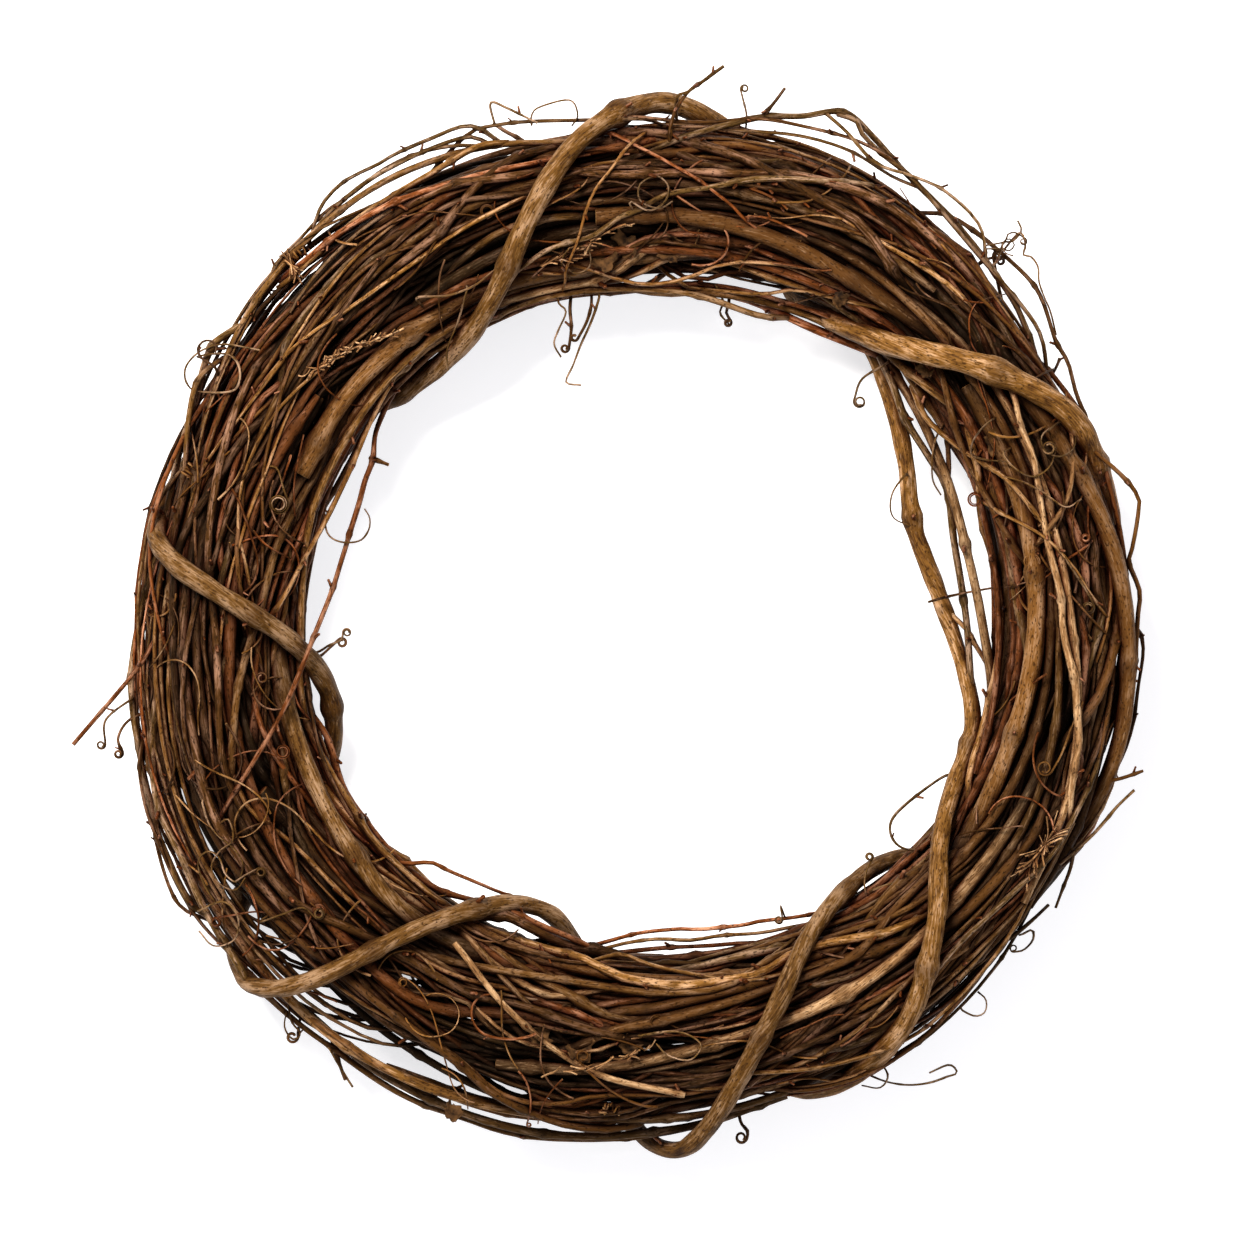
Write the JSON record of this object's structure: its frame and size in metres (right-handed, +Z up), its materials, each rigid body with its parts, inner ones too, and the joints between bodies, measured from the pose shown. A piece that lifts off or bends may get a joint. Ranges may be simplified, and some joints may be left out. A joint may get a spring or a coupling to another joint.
{
  "type": "grapevine wreath",
  "caption": "Grapevine wreath: dry vine canes coiled into a thick open ring, bound by heavier canes wound round it, with stray twigs and curling tendrils.",
  "frame": {"origin": "centre of the bounding box on the surface that the wreath lies on", "axes": "+Z up out of the wreath's face, along the ring's own axis; +Y towards the top of the picture"},
  "size_m": [0.4776, 0.4855, 0.0831],
  "materials": {
    "dark_bark": "dark weathered cane",
    "grey_brown_bark": "grey-brown weathered bark",
    "pale_bark": "pale stripped cane with rough nodes",
    "red_brown_bark": "thin reddish-brown cane, smooth dry bark",
    "tan_bark": "thick tan cane, fibrous dry bark"
  },
  "bodies": {
    "root": {"binding_cane": "tan_bark", "broken_cane": "tan_bark", "coiled_cane_01": "red_brown_bark", "coiled_cane_02": "dark_bark", "coiled_cane_03": "red_brown_bark", "coiled_cane_04": "grey_brown_bark", "coiled_cane_05": "tan_bark", "coiled_cane_06": "red_brown_bark", "coiled_cane_07": "dark_bark", "coiled_cane_08": "red_brown_bark", "coiled_cane_09": "grey_brown_bark", "coiled_cane_10": "tan_bark", "coiled_cane_11": "red_brown_bark", "coiled_cane_12": "dark_bark", "coiled_cane_13": "red_brown_bark", "coiled_cane_14": "grey_brown_bark", "coiled_cane_15": "tan_bark", "coiled_cane_16": "red_brown_bark", "coiled_cane_17": "dark_bark", "coiled_cane_18": "red_brown_bark", "coiled_cane_19": "grey_brown_bark", "coiled_cane_20": "tan_bark", "coiled_cane_21": "red_brown_bark", "coiled_cane_22": "dark_bark", "coiled_cane_23": "red_brown_bark", "coiled_cane_24": "grey_brown_bark", "coiled_cane_25": "tan_bark", "coiled_cane_26": "red_brown_bark", "coiled_cane_27": "dark_bark", "coiled_cane_28": "red_brown_bark", "coiled_cane_29": "grey_brown_bark", "coiled_cane_30": "tan_bark", "coiled_cane_31": "red_brown_bark", "coiled_cane_32": "dark_bark", "crossing_twig": "red_brown_bark", "curved_twig": "pale_bark", "gap_cane": "pale_bark", "gap_twig": "red_brown_bark", "inner_left_bow": "red_brown_bark", "inner_top_bow": "red_brown_bark", "inner_top_cane": "tan_bark", "kinked_twig": "grey_brown_bark", "long_stray_twig": "red_brown_bark", "lower_left_cane": "tan_bark", "ochre_cane": "tan_bark", "outer_lower_bow": "grey_brown_bark", "outer_right_cane": "tan_bark", "outer_top_bow": "grey_brown_bark", "pale_cane": "pale_bark", "pale_thin_cane": "pale_bark", "right_cane": "tan_bark", "second_binding_cane": "tan_bark", "top_cut_cane": "tan_bark"}
  },
  "joints": []
}
